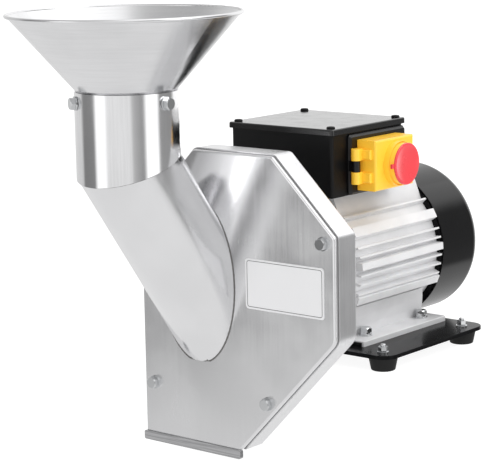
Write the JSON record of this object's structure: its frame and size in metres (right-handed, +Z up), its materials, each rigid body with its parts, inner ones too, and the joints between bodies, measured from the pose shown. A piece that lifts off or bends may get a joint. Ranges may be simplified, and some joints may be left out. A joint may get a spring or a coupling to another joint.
{
  "type": "electric fruit crusher",
  "caption": "Bench fruit crusher: hopper and slanting tube feed knives in a flat stainless housing on a finned motor.",
  "frame": {"origin": "on the bench surface, midway between the four rubber feet", "axes": "+X to the side with the switch, +Y back along the motor shaft away from the housing, +Z up"},
  "size_m": [0.2643, 0.4732, 0.4079],
  "materials": {
    "satin_stainless": "satin rolled stainless sheet",
    "bright_stainless": "bright polished stainless tube",
    "knife_steel": "ground stainless blade",
    "zinc_steel": "bright zinc-plated steel",
    "machined_steel": "turned steel",
    "core_steel": "varnished laminated electrical steel",
    "cast_aluminium": "silver-painted die casting",
    "adapter_aluminium": "machined casting",
    "black_steel": "gloss black powder coat",
    "black_cowl": "satin black",
    "black_plastic": "satin moulded",
    "lid_plastic": "satin moulded, pale in reflected light",
    "dark_strip": "grey folded strip",
    "rubber_black": "moulded rubber",
    "gasket_rubber": "sheet rubber",
    "plate_white": "white printed plate, left blank",
    "switch_yellow": "moulded",
    "switch_red": "moulded",
    "switch_green": "moulded",
    "capacitor_white": "moulded can",
    "terminal_grey": "moulded",
    "fan_plastic": "moulded",
    "winding_copper": "enamelled copper wire"
  },
  "bodies": {
    "root": {"housing_shell": "satin_stainless", "housing_cover": "satin_stainless", "cover_gasket": "gasket_rubber", "cover_pillars": "machined_steel", "cover_bolts": "zinc_steel", "outlet_lip": "dark_strip", "name_plate": "plate_white", "feed_tube": "satin_stainless", "feed_collar": "bright_stainless", "hopper": "satin_stainless", "hopper_bolts": "zinc_steel", "hopper_nuts": "zinc_steel", "motor_adapter": "adapter_aluminium", "adapter_screws": "zinc_steel", "shaft_seal": "rubber_black", "front_endshield": "adapter_aluminium", "motor_frame": "cast_aluminium", "rear_endshield": "black_steel", "tie_bolts": "zinc_steel", "motor_foot_bolts": "zinc_steel", "bearing_outer_rings": "machined_steel", "bearing_balls": "machined_steel", "stator_core": "core_steel", "stator_winding": "winding_copper", "fan_cowl": "black_cowl", "cowl_screws": "zinc_steel", "control_box": "black_plastic", "box_gasket": "gasket_rubber", "box_lid": "lid_plastic", "lid_screws": "black_plastic", "box_screws": "zinc_steel", "capacitor": "capacitor_white", "capacitor_clip": "zinc_steel", "terminal_block": "terminal_grey", "cable_gland": "black_plastic", "switch_panel": "black_plastic", "switch_body": "black_plastic", "hinge_pin": "machined_steel", "base_plate": "black_steel", "rubber_feet": "rubber_black", "foot_screws": "zinc_steel", "foot_nuts": "zinc_steel"},
    "rotor": {"motor_shaft": "machined_steel", "rotor_core": "core_steel", "shaft_key": "machined_steel", "bearing_inner_rings": "machined_steel", "cooling_fan": "fan_plastic", "fan_circlip": "machined_steel", "cutter_hub": "knife_steel", "hub_set_screw": "machined_steel", "drive_pins": "machined_steel", "knife_bar_rear": "knife_steel", "knife_bar_front": "knife_steel", "knife_nut": "zinc_steel"},
    "flap": {"switch_flap": "switch_yellow", "mushroom_spring": "machined_steel"},
    "mushroom": {"stop_mushroom": "switch_red", "mushroom_skirt": "switch_yellow"},
    "start_key": {"start_button": "switch_green"},
    "stop_key": {"stop_button": "switch_red"}
  },
  "joints": [
    {"name": "rotor_spin", "type": "hinge", "parent": "root", "child": "rotor", "pos_m": [0, 0, 0.0865], "axis": [0, 1, 0], "continuous": true},
    {"name": "flap_hinge", "type": "hinge", "parent": "root", "child": "flap", "pos_m": [0.0666, -0.063, 0.1825], "axis": [0, 0, -1], "range_deg": [0, 110]},
    {"name": "mushroom_press", "type": "slide", "parent": "flap", "child": "mushroom", "axis": [-1, 0, 0], "range_m": [0, 0.0035], "stiffness_N_per_m": 900, "springref_m": -0.003, "deforming": ["mushroom_spring"]},
    {"name": "start_press", "type": "slide", "parent": "root", "child": "start_key", "axis": [-1, 0, 0], "range_m": [0, 0.003], "stiffness_N_per_m": 600, "springref_m": -0.002},
    {"name": "stop_press", "type": "slide", "parent": "root", "child": "stop_key", "axis": [-1, 0, 0], "range_m": [0, 0.003], "stiffness_N_per_m": 600, "springref_m": -0.002}
  ]
}
